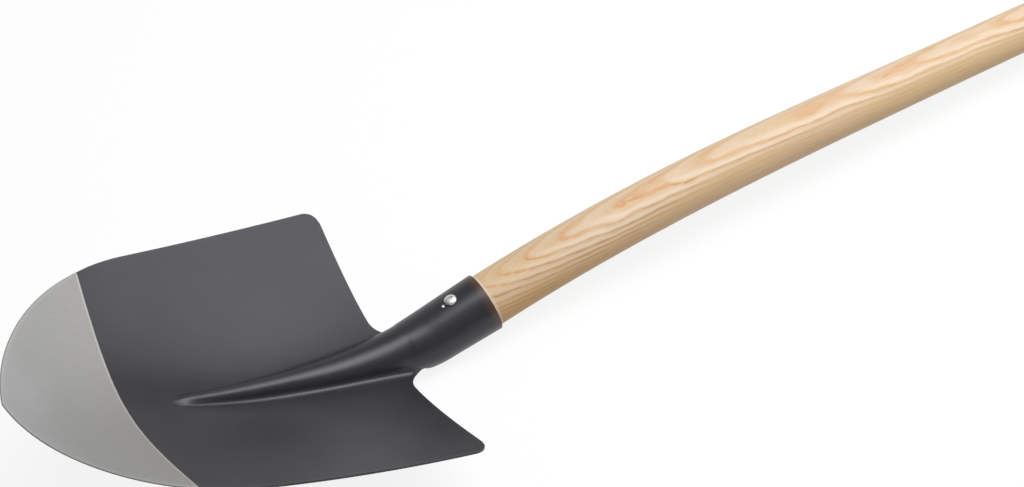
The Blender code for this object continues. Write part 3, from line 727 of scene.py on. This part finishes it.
def handle_mesh():
    run, forward, upward, slope = handle_course()
    depth = HANDLE_SEAT - BUTT_ROUND
    seat = [-HANDLE_SEAT + BUTT_ROUND + depth * k / SEAT_ROWS for k in range(SEAT_ROWS + 1)]
    length = HANDLE_LENGTH - BUTT_ROUND - MOUTH_CHAMFER
    body = [MOUTH_CHAMFER + length * k / HANDLE_ROWS for k in range(HANDLE_ROWS + 1)]
    rows = [(d, handle_radius(d)) for d in seat + body]
    rows = rounded_end(-HANDLE_SEAT, handle_radius(seat[0]), -1.0)[::-1] + rows
    rows += rounded_end(HANDLE_LENGTH, GRIP_RADIUS, 1.0)
    bm = bmesh.new()
    grain = bm.verts.layers.float_vector.new("grain")
    facing = bm.verts.layers.float.new("facing")
    made = bmesh.ops.create_grid(bm, x_segments=len(rows) - 1, y_segments=HANDLE_SIDES, size=0.5)
    for vert in made["verts"]:
        distance, radius = rows[round((vert.co.x + 0.5) * (len(rows) - 1))]
        turn = 2.0 * math.pi * (vert.co.y + 0.5)
        out, up = radius * math.sin(turn), radius * math.cos(turn)
        x, z, lean = (np.interp(distance, run, values) for values in (forward, upward, slope))
        vert.co = (x - up * math.sin(lean), out, z + up * math.cos(lean))
        vert[grain] = (distance, out, up + grain_climb(distance))
        flat_end = distance in (-HANDLE_SEAT, HANDLE_LENGTH)
        vert[facing] = 1.0 if flat_end else math.cos(turn)
    bmesh.ops.remove_doubles(bm, verts=bm.verts, dist=MERGE)
    bmesh.ops.recalc_face_normals(bm, faces=bm.faces)
    return bm


def turned(bm, profile):
    """A closed turned piece about Z, from a profile of radius and height."""
    points = [bm.verts.new((radius, 0.0, height)) for radius, height in profile]
    edges = [bm.edges.new(pair) for pair in zip(points, points[1:])]
    bmesh.ops.spin(bm, geom=points + edges, cent=(0, 0, 0), axis=(0, 0, 1), angle=2.0 * math.pi,
                   steps=TURNED_SIDES, use_merge=True)
    bmesh.ops.remove_doubles(bm, verts=bm.verts, dist=MERGE)
    bmesh.ops.recalc_face_normals(bm, faces=bm.faces)


def socket_frame(depth, turn, radius):
    """Placement of a fastener that stands square on the socket."""
    outward = on_socket(0.0, 1.0, turn) - Vector(MOUTH)
    forward = Vector(SOCKET_AXIS)
    side = outward.cross(forward)
    square = Matrix((forward, side, outward)).transposed().to_4x4()
    return Matrix.Translation(on_socket(depth, radius, turn)) @ square


def screw_mesh():
    profile = [(SCREW_HEAD * math.sin(a), SCREW_DOME * math.cos(a)) for a in
               (math.pi / 2 * k / DOME_STEPS for k in range(DOME_STEPS + 1))]
    profile += [(SCREW_SHANK, 0.0), (SCREW_SHANK, -SHANK_STRAIGHT * SCREW_LENGTH),
                (0.0, -SCREW_LENGTH)]
    bm = bmesh.new()
    turned(bm, profile)
    mesh = bpy.data.meshes.new("zinc_screw")
    bm.to_mesh(mesh)
    bm.free()
    head = bpy.data.objects.new("screw_blank", mesh)
    bpy.context.scene.collection.objects.link(head)
    cutters = []
    for angle in (RECESS_ANGLE, RECESS_ANGLE + math.pi / 2):
        cross = bmesh.new()
        shape = Matrix.Diagonal((2 * RECESS_ARM, RECESS_WIDTH, 2 * RECESS_DEPTH, 1.0))
        place = Matrix.Translation((0, 0, SCREW_DOME)) @ Matrix.Rotation(angle, 4, "Z") @ shape
        bmesh.ops.create_cube(cross, size=1.0, matrix=place)
        arm = bpy.data.meshes.new("recess")
        cross.to_mesh(arm)
        cross.free()
        cutter = bpy.data.objects.new("recess", arm)
        bpy.context.scene.collection.objects.link(cutter)
        step = head.modifiers.new("recess", "BOOLEAN")
        step.operation = "DIFFERENCE"
        step.solver = "EXACT"
        step.object = cutter
        cutters.append(cutter)
    bpy.context.view_layer.update()
    cut = bpy.data.meshes.new_from_object(head.evaluated_get(bpy.context.evaluated_depsgraph_get()))
    for item in cutters + [head]:
        bpy.data.objects.remove(item)
    bm = bmesh.new()
    bm.from_mesh(cut)
    place = socket_frame(SCREW_AT, SCREW_TURN, socket_radius(SCREW_AT) + CLEARANCE)
    bmesh.ops.transform(bm, matrix=place, verts=bm.verts)
    return bm


def pin_mesh():
    edge = PIN_SOFTNESS * PIN_STAND
    middle = PIN_CORNER * edge
    profile = [(0.0, PIN_STAND), (PIN_HEAD - edge, PIN_STAND),
               (PIN_HEAD - middle, PIN_STAND - middle), (PIN_HEAD, PIN_STAND - edge),
               (PIN_HEAD, 0.0), (PIN_SHANK, 0.0),
               (PIN_SHANK, -SHANK_STRAIGHT * PIN_LENGTH), (0.0, -PIN_LENGTH)]
    bm = bmesh.new()
    turned(bm, profile)
    place = socket_frame(PIN_AT, PIN_TURN, socket_radius(PIN_AT) + CLEARANCE)
    bmesh.ops.transform(bm, matrix=place, verts=bm.verts)
    return bm


def lying():
    """The level tool's place on the floor."""
    return Matrix.Translation(LYING_SHIFT) @ Matrix.Rotation(LYING_TURN, 4, "Y")


class Shader:
    """A Principled material with a few short ways to add and join nodes."""

    def __init__(self, name):
        self.material = bpy.data.materials.new(name)
        self.material.use_nodes = True
        self.tree = self.material.node_tree
        self.surface = self.tree.nodes["Principled BSDF"]

    def node(self, kind, inputs=None, **settings):
        made = self.tree.nodes.new(kind)
        for key, value in settings.items():
            setattr(made, key, value)
        for key, value in (inputs or {}).items():
            self.put(made.inputs[key], value)
        return made

    def put(self, socket, value):
        if isinstance(value, bpy.types.NodeSocket):
            self.tree.links.new(value, socket)
        else:
            socket.default_value = value

    def set(self, **values):
        for key, value in values.items():
            label = key.replace("_", " ").title().replace("Ior", "IOR")
            self.put(self.surface.inputs[label], value)

    def attribute(self, name, output):
        return self.node("ShaderNodeAttribute", attribute_name=name).outputs[output]

    def math(self, operation, *values):
        made = self.node("ShaderNodeMath", operation=operation)
        for socket, value in zip(made.inputs, values):
            self.put(socket, value)
        return made.outputs[0]

    def times(self, first, *others):
        for other in others:
            first = self.math("MULTIPLY", first, other)
        return first

    def plus(self, first, *others):
        for other in others:
            first = self.math("ADD", first, other)
        return first

    def spread(self, value, width, middle=0.0):
        """Turns a value between 0 and 1 into one as wide as asked, evenly about its middle."""
        return self.math("MULTIPLY_ADD", value, width, middle - 0.5 * width)

    def noise(self, place, scale, detail=3.0, roughness=0.5):
        made = self.node("ShaderNodeTexNoise", {"Vector": place, "Scale": scale, "Detail": detail,
                                                "Roughness": roughness})
        return made.outputs["Fac"]

    def streaks(self, place, scale, detail=2.0, roughness=0.5):
        """Noise drawn out along some directions, with a scale for each."""
        made = self.node("ShaderNodeMapping", {"Vector": place, "Scale": scale})
        return self.noise(made.outputs["Vector"], 1.0, detail, roughness)

    def span(self, value, low, high, start=0.0, end=1.0):
        """Eases from start, where value is low, to end, where it is high."""
        made = self.node("ShaderNodeMapRange", {"Value": value, "From Min": low, "From Max": high,
                                                "To Min": start, "To Max": end},
                         interpolation_type="SMOOTHSTEP")
        return made.outputs["Result"]

    def blend(self, share, first, second):
        made = self.node("ShaderNodeMix", data_type="RGBA")
        for key, value in (("Factor_Float", share), ("A_Color", first), ("B_Color", second)):
            self.put(next(s for s in made.inputs if s.identifier == key), value)
        return next(s for s in made.outputs if s.identifier == "Result_Color")

    def relief(self, height, strength, distance, under=None):
        made = self.node("ShaderNodeBump", {"Height": height, "Strength": strength,
                                            "Distance": distance})
        if under is not None:
            self.put(made.inputs["Normal"], under)
        return made.outputs["Normal"]


def coated_steel(finish):
    """Satin coat with a fine grain and a brown painted reflection of the wood at the mouth, and
    bare ground steel ahead of the coat line with painted shade along its cutting edge.
    """
    s = Shader("coated_steel")
    level = s.attribute("level", "Vector")
    rim = s.attribute("rim", "Fac")
    mouth = s.attribute("mouth", "Fac")
    x = s.node("ShaderNodeSeparateXYZ", {"Vector": level}).outputs["X"]
    ragged = s.spread(s.noise(level, RAGGED_SCALE, 2.0), COAT_RAGGED)
    front = s.math("SUBTRACT", s.plus(x, ragged), COAT_X)
    coat = s.span(front, -COAT_FADE, COAT_FADE)

    cloud = s.noise(level, CLOUD_SCALE)
    speck = s.noise(level, SPECK_SCALE, 2.0)
    tone = s.blend(s.span(cloud, 0.3, 0.7), tuple(finish.coat_colour), COAT_LIGHT)
    tone = s.blend(s.span(speck, 0.45, 0.75, 0.0, SPECK_SHARE), tone, COAT_SPECK)
    tone = s.blend(s.times(rim, RIM_SHARE), tone, COAT_RIM)
    # Painted reflection: the coat turns brown near the mouth, as if it mirrored the wood
    wood_reflection = s.plus(mouth, s.spread(s.noise(level, REFLECTION_SCALE, 2.0), REFLECTION_RAGGED))
    tone = s.blend(s.span(wood_reflection, REFLECTION_START, REFLECTION_END, REFLECTION_SHARE, 0.0), tone, COAT_WOOD_REFLECTION)

    marks = s.streaks(level, MARK_SCALE, 4.0, 0.7)
    place = s.plus(s.spread(s.noise(level, DRIFT_SCALE), STEEL_DRIFT), x)
    steel = s.blend(s.span(place, *FRONT_SPAN), STEEL_FRONT, tuple(finish.steel_colour))
    steel = s.blend(s.span(place, *REAR_SPAN), steel, STEEL_REAR)
    steel = s.blend(s.span(marks, 0.35, 0.75, 0.0, MARK_SHARE), steel, STEEL_MARK)
    steel = s.blend(s.times(s.span(front, LIP_START, LIP_END), LIP_SHARE), steel, STEEL_LIP)
    steel = s.blend(s.times(rim, RIM_SHARE), steel, STEEL_RIM)
    # Painted shade: a dark line along the cutting edge, where the sheet's thickness lies in shadow
    steel = s.blend(s.span(rim, *EDGE_SHADE_SPAN, 0.0, EDGE_SHADE_SHARE), steel, STEEL_EDGE_SHADE)

    s.set(base_color=s.blend(coat, steel, tone))
    s.set(metallic=s.math("MULTIPLY_ADD", coat, -STEEL_METAL, STEEL_METAL))
    s.set(specular_ior_level=COAT_SPECULAR)
    s.set(specular_tint=COAT_GLOSS)
    rough_coat = s.spread(speck, COAT_VARIETY, finish.coat_roughness)
    rough_steel = s.spread(marks, STEEL_VARIETY, finish.steel_roughness)
    difference = s.math("SUBTRACT", rough_coat, rough_steel)
    s.set(roughness=s.math("MULTIPLY_ADD", coat, difference, rough_steel))

    scratch = s.times(marks, s.math("SUBTRACT", 1.0, coat))
    wave = s.relief(s.noise(level, WAVE_SCALE, 2.0), 0.5, COAT_WAVE)
    fine = s.relief(s.times(speck, coat), 0.35, COAT_GRAIN, wave)
    s.set(normal=s.relief(s.plus(scratch, s.times(coat, 1.2)), 0.5, COAT_STEP, fine))
    return s.material


def ash_wood(finish):
    """Sanded ash: rings cut by the turned handle, open pores in their dark part, pinkish bands, a
    painted sheen on top and painted shade underneath near the socket.
    """
    s = Shader("ash_wood")
    grain = s.attribute("grain", "Vector")
    facing = s.attribute("facing", "Fac")
    parts = s.node("ShaderNodeSeparateXYZ", {"Vector": grain}).outputs
    along, across = parts["X"], parts["Y"]

    sway = s.spread(s.streaks(grain, SWAY_SCALE), RING_SWAY, RING_START)
    ripple = s.spread(s.streaks(grain, RIPPLE_SCALE), RING_RIPPLE)
    fray = s.spread(s.streaks(grain, FRAY_SCALE, 3.0, 0.6), RING_FRAY)
    rings = s.math("DIVIDE", s.plus(parts["Z"], sway, ripple, fray), finish.ring_width)
    ring = s.math("FRACT", rings)
    season = s.node("ShaderNodeTexWhiteNoise", {"W": s.math("FLOOR", rings)}, noise_dimensions="1D")
    patch = s.streaks(grain, PATCH_SCALE)

    early = s.times(s.span(ring, *EARLY_RISE), s.span(ring, *EARLY_FALL),
                    s.math("MULTIPLY_ADD", season.outputs["Value"], *EARLY_SEASON),
                    s.span(patch, *EARLY_PATCH), s.span(across, *EARLY_ACROSS))
    pale = s.times(s.span(ring, *PALE_RISE), s.span(ring, *PALE_FALL), s.span(across, *PALE_ACROSS),
                   s.span(facing, *PALE_FACING), s.span(along, *PALE_ALONG))
    face = s.span(facing, s.span(along, *FACE_ALONG), FACE_FULL)
    # Where the painted shade lies: the underside of the handle near the socket
    low = s.times(s.span(facing, *UNDER_SHADE_FACING), s.span(along, *UNDER_SHADE_ALONG))
    pores = s.streaks(grain, PORE_SCALE, 2.0, 0.6)
    pore = s.times(s.span(pores, 0.52, 0.70), s.plus(early, PORE_SPREAD))
    fibre = s.streaks(grain, FIBRE_SCALE, 3.0, 0.6)
    band = s.streaks(grain, BAND_SCALE)

    tone = s.blend(s.span(band, 0.35, 0.65), tuple(finish.wood_colour), ASH_PINK)
    tone = s.blend(s.span(fibre, 0.30, 0.70, 0.0, FIBRE_SHARE), tone, ASH_FIBRE)
    # Painted sheen pales the top of the handle, and painted shade deepens its underside near the
    # socket
    tone = s.blend(s.span(facing, *TOP_SHEEN_FACING), tone, ASH_TOP_SHEEN)
    tone = s.blend(low, tone, ASH_UNDER_SHADE)
    tone = s.blend(s.times(pale, s.math("MULTIPLY_ADD", face, *PALE_SHARE)), tone, ASH_PALE)
    dark = s.blend(s.span(facing, *TOP_FACING), ASH_EARLY_SIDE, ASH_EARLY_TOP)
    tone = s.blend(s.times(early, s.math("MULTIPLY_ADD", face, *EARLY_SHARE)), tone, dark)
    tone = s.blend(s.times(pore, PORE_SHARE), tone, ASH_PORE)
    s.set(base_color=s.blend(s.span(along, *CUT_ALONG), tone, ASH_CUT))
    s.set(roughness=s.math("MULTIPLY_ADD", early, WOOD_VARIETY, finish.wood_roughness))
    s.set(specular_ior_level=WOOD_SPECULAR)
    s.set(normal=s.relief(s.plus(s.times(pore, -1.0), s.times(fibre, 0.25)), 0.35, WOOD_RELIEF))
    return s.material


def zinc(finish):
    """Bright zinc plating with a faint crystal bloom."""
    s = Shader("zinc")
    place = s.node("ShaderNodeTexCoord").outputs["Object"]
    cells = s.node("ShaderNodeTexVoronoi", {"Vector": place, "Scale": ZINC_BLOOM_SCALE})
    bloom = cells.outputs["Distance"]
    cloud = s.span(s.noise(place, ZINC_CLOUD_SCALE), 0.3, 0.7)
    s.set(base_color=s.blend(cloud, tuple(finish.zinc_colour), ZINC_DARK))
    s.set(metallic=1.0)
    s.set(roughness=s.math("MULTIPLY_ADD", bloom, ZINC_VARIETY, finish.zinc_roughness))
    s.set(normal=s.relief(s.noise(place, ZINC_RELIEF_SCALE, 2.0), 0.2, ZINC_RELIEF))
    return s.material


def pale_floor(share):
    """White floor that keeps its shadows and shows as white to the camera and in metal."""
    s = Shader("pale_floor")
    place = s.node("ShaderNodeTexCoord").outputs["Object"]
    fine = s.noise(place, FLOOR_SCALE, 4.0)
    path = s.node("ShaderNodeLightPath").outputs
    seen = s.math("MAXIMUM", path["Is Camera Ray"], path["Is Glossy Ray"])
    seen = s.math("MAXIMUM", seen, path["Is Transmission Ray"])
    s.set(base_color=s.blend(seen, FLOOR_BOUNCE, s.blend(s.span(fine, 0.2, 0.8), *FLOOR_SEEN)))
    s.set(roughness=s.math("MULTIPLY_ADD", fine, FLOOR_VARIETY, FLOOR_ROUGHNESS))
    s.set(specular_ior_level=FLOOR_SPECULAR)
    glow = s.node("ShaderNodeEmission", {"Color": WHITE, "Strength": 1.0})
    mixed = s.node("ShaderNodeMixShader", {0: s.times(seen, share), 1: s.surface.outputs[0],
                                           2: glow.outputs[0]})
    end = next(n for n in s.tree.nodes if n.type == "OUTPUT_MATERIAL")
    s.tree.links.new(mixed.outputs[0], end.inputs["Surface"])
    return s.material


def soft_light(lamp, power):
    """A soft lamp that faces its target, with its long side along its run."""
    light = bpy.data.lights.new(lamp.name, "AREA")
    light.shape = "RECTANGLE"
    light.size, light.size_y = lamp.size
    light.energy = power
    holder = bpy.data.objects.new(lamp.name, light)
    back = (Vector(lamp.place) - Vector(lamp.target)).normalized()
    side = (Vector(lamp.run) - back * back.dot(Vector(lamp.run))).normalized()
    turn = Matrix((side, back.cross(side), back)).transposed().to_4x4()
    holder.matrix_world = Matrix.Translation(lamp.place) @ turn
    bpy.context.scene.collection.objects.link(holder)


def finished(name, bm, material, node, slot):
    """Lays a piece where the tool lies, gives it its material and ties it to the frame."""
    bmesh.ops.transform(bm, matrix=lying(), verts=bm.verts)
    mesh = bpy.data.meshes.new(name)
    bm.to_mesh(mesh)
    bm.free()
    mesh.materials.append(material)
    mesh.shade_smooth()
    if slot == "zinc":
        mesh.set_sharp_from_angle(angle=SHARP_ANGLE)
    piece = bpy.data.objects.new(name, mesh)
    bpy.context.scene.collection.objects.link(piece)
    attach(piece, "root")
    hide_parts(node)
    return piece


class ShovelFinish(bpy.types.PropertyGroup):
    """How the shovel's surfaces look."""

    coat_colour: bpy.props.FloatVectorProperty(
        name="Coat colour", description="Colour of the dark coat",
        default=COAT_DARK, size=4, min=0.0, max=1.0, subtype="COLOR")
    coat_roughness: bpy.props.FloatProperty(
        name="Coat roughness", description="Roughness of the dark coat",
        default=0.38, min=0.0, max=1.0, subtype="FACTOR")
    steel_colour: bpy.props.FloatVectorProperty(
        name="Steel colour", description="Colour of the ground tip in its middle",
        default=STEEL_MIDDLE, size=4, min=0.0, max=1.0, subtype="COLOR")
    steel_roughness: bpy.props.FloatProperty(
        name="Steel roughness", description="Roughness of the ground tip",
        default=0.60, min=0.0, max=1.0, subtype="FACTOR")
    edge_round: bpy.props.FloatProperty(
        name="Edge rounding", description="Width of the softened edges of the sheet",
        default=0.0004, min=0.0, max=0.0008, subtype="DISTANCE", unit="LENGTH")
    wood_colour: bpy.props.FloatVectorProperty(
        name="Wood colour", description="Main colour of the handle",
        default=ASH_GOLD, size=4, min=0.0, max=1.0, subtype="COLOR")
    wood_roughness: bpy.props.FloatProperty(
        name="Wood roughness", description="Roughness of the sanded handle",
        default=0.48, min=0.0, max=1.0, subtype="FACTOR")
    ring_width: bpy.props.FloatProperty(
        name="Ring width", description="Width of one year's growth in the wood",
        default=0.0031, min=0.0005, max=0.01, subtype="DISTANCE", unit="LENGTH")
    zinc_colour: bpy.props.FloatVectorProperty(
        name="Zinc colour", description="Colour of the screw and the pin",
        default=ZINC_LIGHT, size=4, min=0.0, max=1.0, subtype="COLOR")
    zinc_roughness: bpy.props.FloatProperty(
        name="Zinc roughness", description="Roughness of the screw and the pin",
        default=0.34, min=0.0, max=1.0, subtype="FACTOR")


class ShovelStage(bpy.types.PropertyGroup):
    """Floor, light and camera."""

    key_power: bpy.props.FloatProperty(
        name="Key power", description="Power of the soft light over the end of the handle",
        default=13.0, min=0.0, unit="POWER")
    strip_power: bpy.props.FloatProperty(
        name="Strip power", description="Power of the long soft light over the socket",
        default=24.5, min=0.0, unit="POWER")
    wall_power: bpy.props.FloatProperty(
        name="Wall power", description="Power of the low wide light on the far side",
        default=5.0, min=0.0, unit="POWER")
    sky: bpy.props.FloatProperty(
        name="Sky", description="Strength of the even light from all round", default=0.30, min=0.0)
    floor_glow: bpy.props.FloatProperty(
        name="Floor glow", description="How much of the seen floor is plain white",
        default=0.86, min=0.0, max=1.0, subtype="FACTOR")
    lens: bpy.props.FloatProperty(
        name="Lens", description="Focal length of the camera in millimetres",
        default=51.595, min=10.0, unit="CAMERA")


class SHOVEL_OT_blade(bpy.types.Operator):
    """Build the pressed blade with its ridge and rolled socket"""

    bl_idname = "shovel.blade"
    bl_label = "Blade and socket"

    def execute(self, context):
        bm = blade_surface()
        level = bm.verts.layers.float_vector.new("level")
        rim = bm.verts.layers.float.new("rim")
        mouth = bm.verts.layers.float.new("mouth")
        thin = {}
        bm.verts.index_update()
        for vert in bm.verts:
            vert[level] = vert.co
            vert[rim] = 1.0 if vert.is_boundary else 0.0
            vert[mouth] = (Vector(MOUTH) - vert.co).dot(Vector(SOCKET_AXIS))
            if vert.is_boundary and vert.co.x < COAT_X + GROUND_FADE:
                thin[vert.index] = ground(vert.co.x)
        blade = finished("coated_blade", bm, coated_steel(context.scene.shovel_finish),
                         "blade_and_socket", "coated_steel")
        group = blade.vertex_groups.new(name="wall")
        group.add(list(range(len(blade.data.vertices))), 1.0, "REPLACE")
        for index, share in thin.items():
            group.add([index], 1.0 + (GROUND_EDGE / SHEET - 1.0) * share, "REPLACE")
        wall = blade.modifiers.new("wall", "SOLIDIFY")
        wall.thickness = SHEET
        wall.offset = -1.0
        wall.use_even_offset = True
        wall.use_quality_normals = True
        wall.vertex_group = "wall"
        edge = blade.modifiers.new("edge", "BEVEL")
        edge.width = context.scene.shovel_finish.edge_round
        edge.segments = EDGE_STEPS
        edge.limit_method = "ANGLE"
        edge.angle_limit = EDGE_ANGLE
        edge.harden_normals = True
        return {"FINISHED"}


class SHOVEL_OT_handle(bpy.types.Operator):
    """Build the bent ash handle"""

    bl_idname = "shovel.handle"
    bl_label = "Handle"

    def execute(self, context):
        wood = ash_wood(context.scene.shovel_finish)
        finished("ash_handle", handle_mesh(), wood, "handle", "ash_wood")
        return {"FINISHED"}


class SHOVEL_OT_fasteners(bpy.types.Operator):
    """Build the screw and the pin that hold the handle"""

    bl_idname = "shovel.fasteners"
    bl_label = "Screw and pin"

    def execute(self, context):
        plating = zinc(context.scene.shovel_finish)
        finished("zinc_screw", screw_mesh(), plating, "socket_screw", "zinc")
        finished("zinc_pin", pin_mesh(), plating, "socket_pin", "zinc")
        return {"FINISHED"}


class SHOVEL_OT_stage(bpy.types.Operator):
    """Set the floor, the soft light and the camera"""

    bl_idname = "shovel.stage"
    bl_label = "Stage"

    def execute(self, context):
        settings = context.scene.shovel_stage
        bm = bmesh.new()
        bmesh.ops.create_grid(bm, x_segments=FLOOR_CELLS, y_segments=FLOOR_CELLS, size=FLOOR_HALF)
        mesh = bpy.data.meshes.new("floor")
        bm.to_mesh(mesh)
        bm.free()
        mesh.materials.append(pale_floor(settings.floor_glow))
        floor = bpy.data.objects.new("floor", mesh)
        context.scene.collection.objects.link(floor)

        soft_light(KEY, settings.key_power)
        soft_light(STRIP, settings.strip_power)
        soft_light(WALL, settings.wall_power)

        world = bpy.data.worlds.new("studio")
        context.scene.world = world
        world.use_nodes = True
        sky = world.node_tree.nodes["Background"]
        sky.inputs["Color"].default_value = WHITE
        sky.inputs["Strength"].default_value = settings.sky

        view = bpy.data.cameras.new("photograph")
        view.sensor_fit = "HORIZONTAL"
        view.sensor_width = SENSOR_WIDTH
        view.lens = settings.lens
        camera = bpy.data.objects.new("photograph", view)
        camera.location = CAMERA_PLACE
        camera.rotation_euler = Euler([math.radians(angle) for angle in CAMERA_TURN])
        context.scene.collection.objects.link(camera)
        context.scene.camera = camera
        context.scene.view_settings.view_transform = "Standard"
        return {"FINISHED"}


class SHOVEL_PT_build(bpy.types.Panel):
    """Lists the shovel's pieces"""

    bl_idname = "SHOVEL_PT_build"
    bl_label = "Shovel"
    bl_space_type = "VIEW_3D"
    bl_region_type = "UI"
    bl_category = "Shovel"

    def draw(self, context):
        layout = self.layout
        for name in FINISH_SWITCHES:
            layout.prop(context.scene.shovel_finish, name)
        for name in STAGE_SWITCHES:
            layout.prop(context.scene.shovel_stage, name)
        for operator in OPERATORS:
            layout.operator(operator.bl_idname)


OPERATORS = (SHOVEL_OT_blade, SHOVEL_OT_handle, SHOVEL_OT_fasteners, SHOVEL_OT_stage)
CLASSES = (ShovelFinish, ShovelStage) + OPERATORS + (SHOVEL_PT_build,)


def register():
    for item in CLASSES:
        bpy.utils.register_class(item)
    bpy.types.Scene.shovel_finish = bpy.props.PointerProperty(type=ShovelFinish)
    bpy.types.Scene.shovel_stage = bpy.props.PointerProperty(type=ShovelStage)


def unregister():
    del bpy.types.Scene.shovel_finish
    del bpy.types.Scene.shovel_stage
    for item in reversed(CLASSES):
        bpy.utils.unregister_class(item)


def main():
    register()
    bpy.ops.shovel.blade()
    bpy.ops.shovel.handle()
    bpy.ops.shovel.fasteners()
    bpy.ops.shovel.stage()


if __name__ == "__main__":
    main()
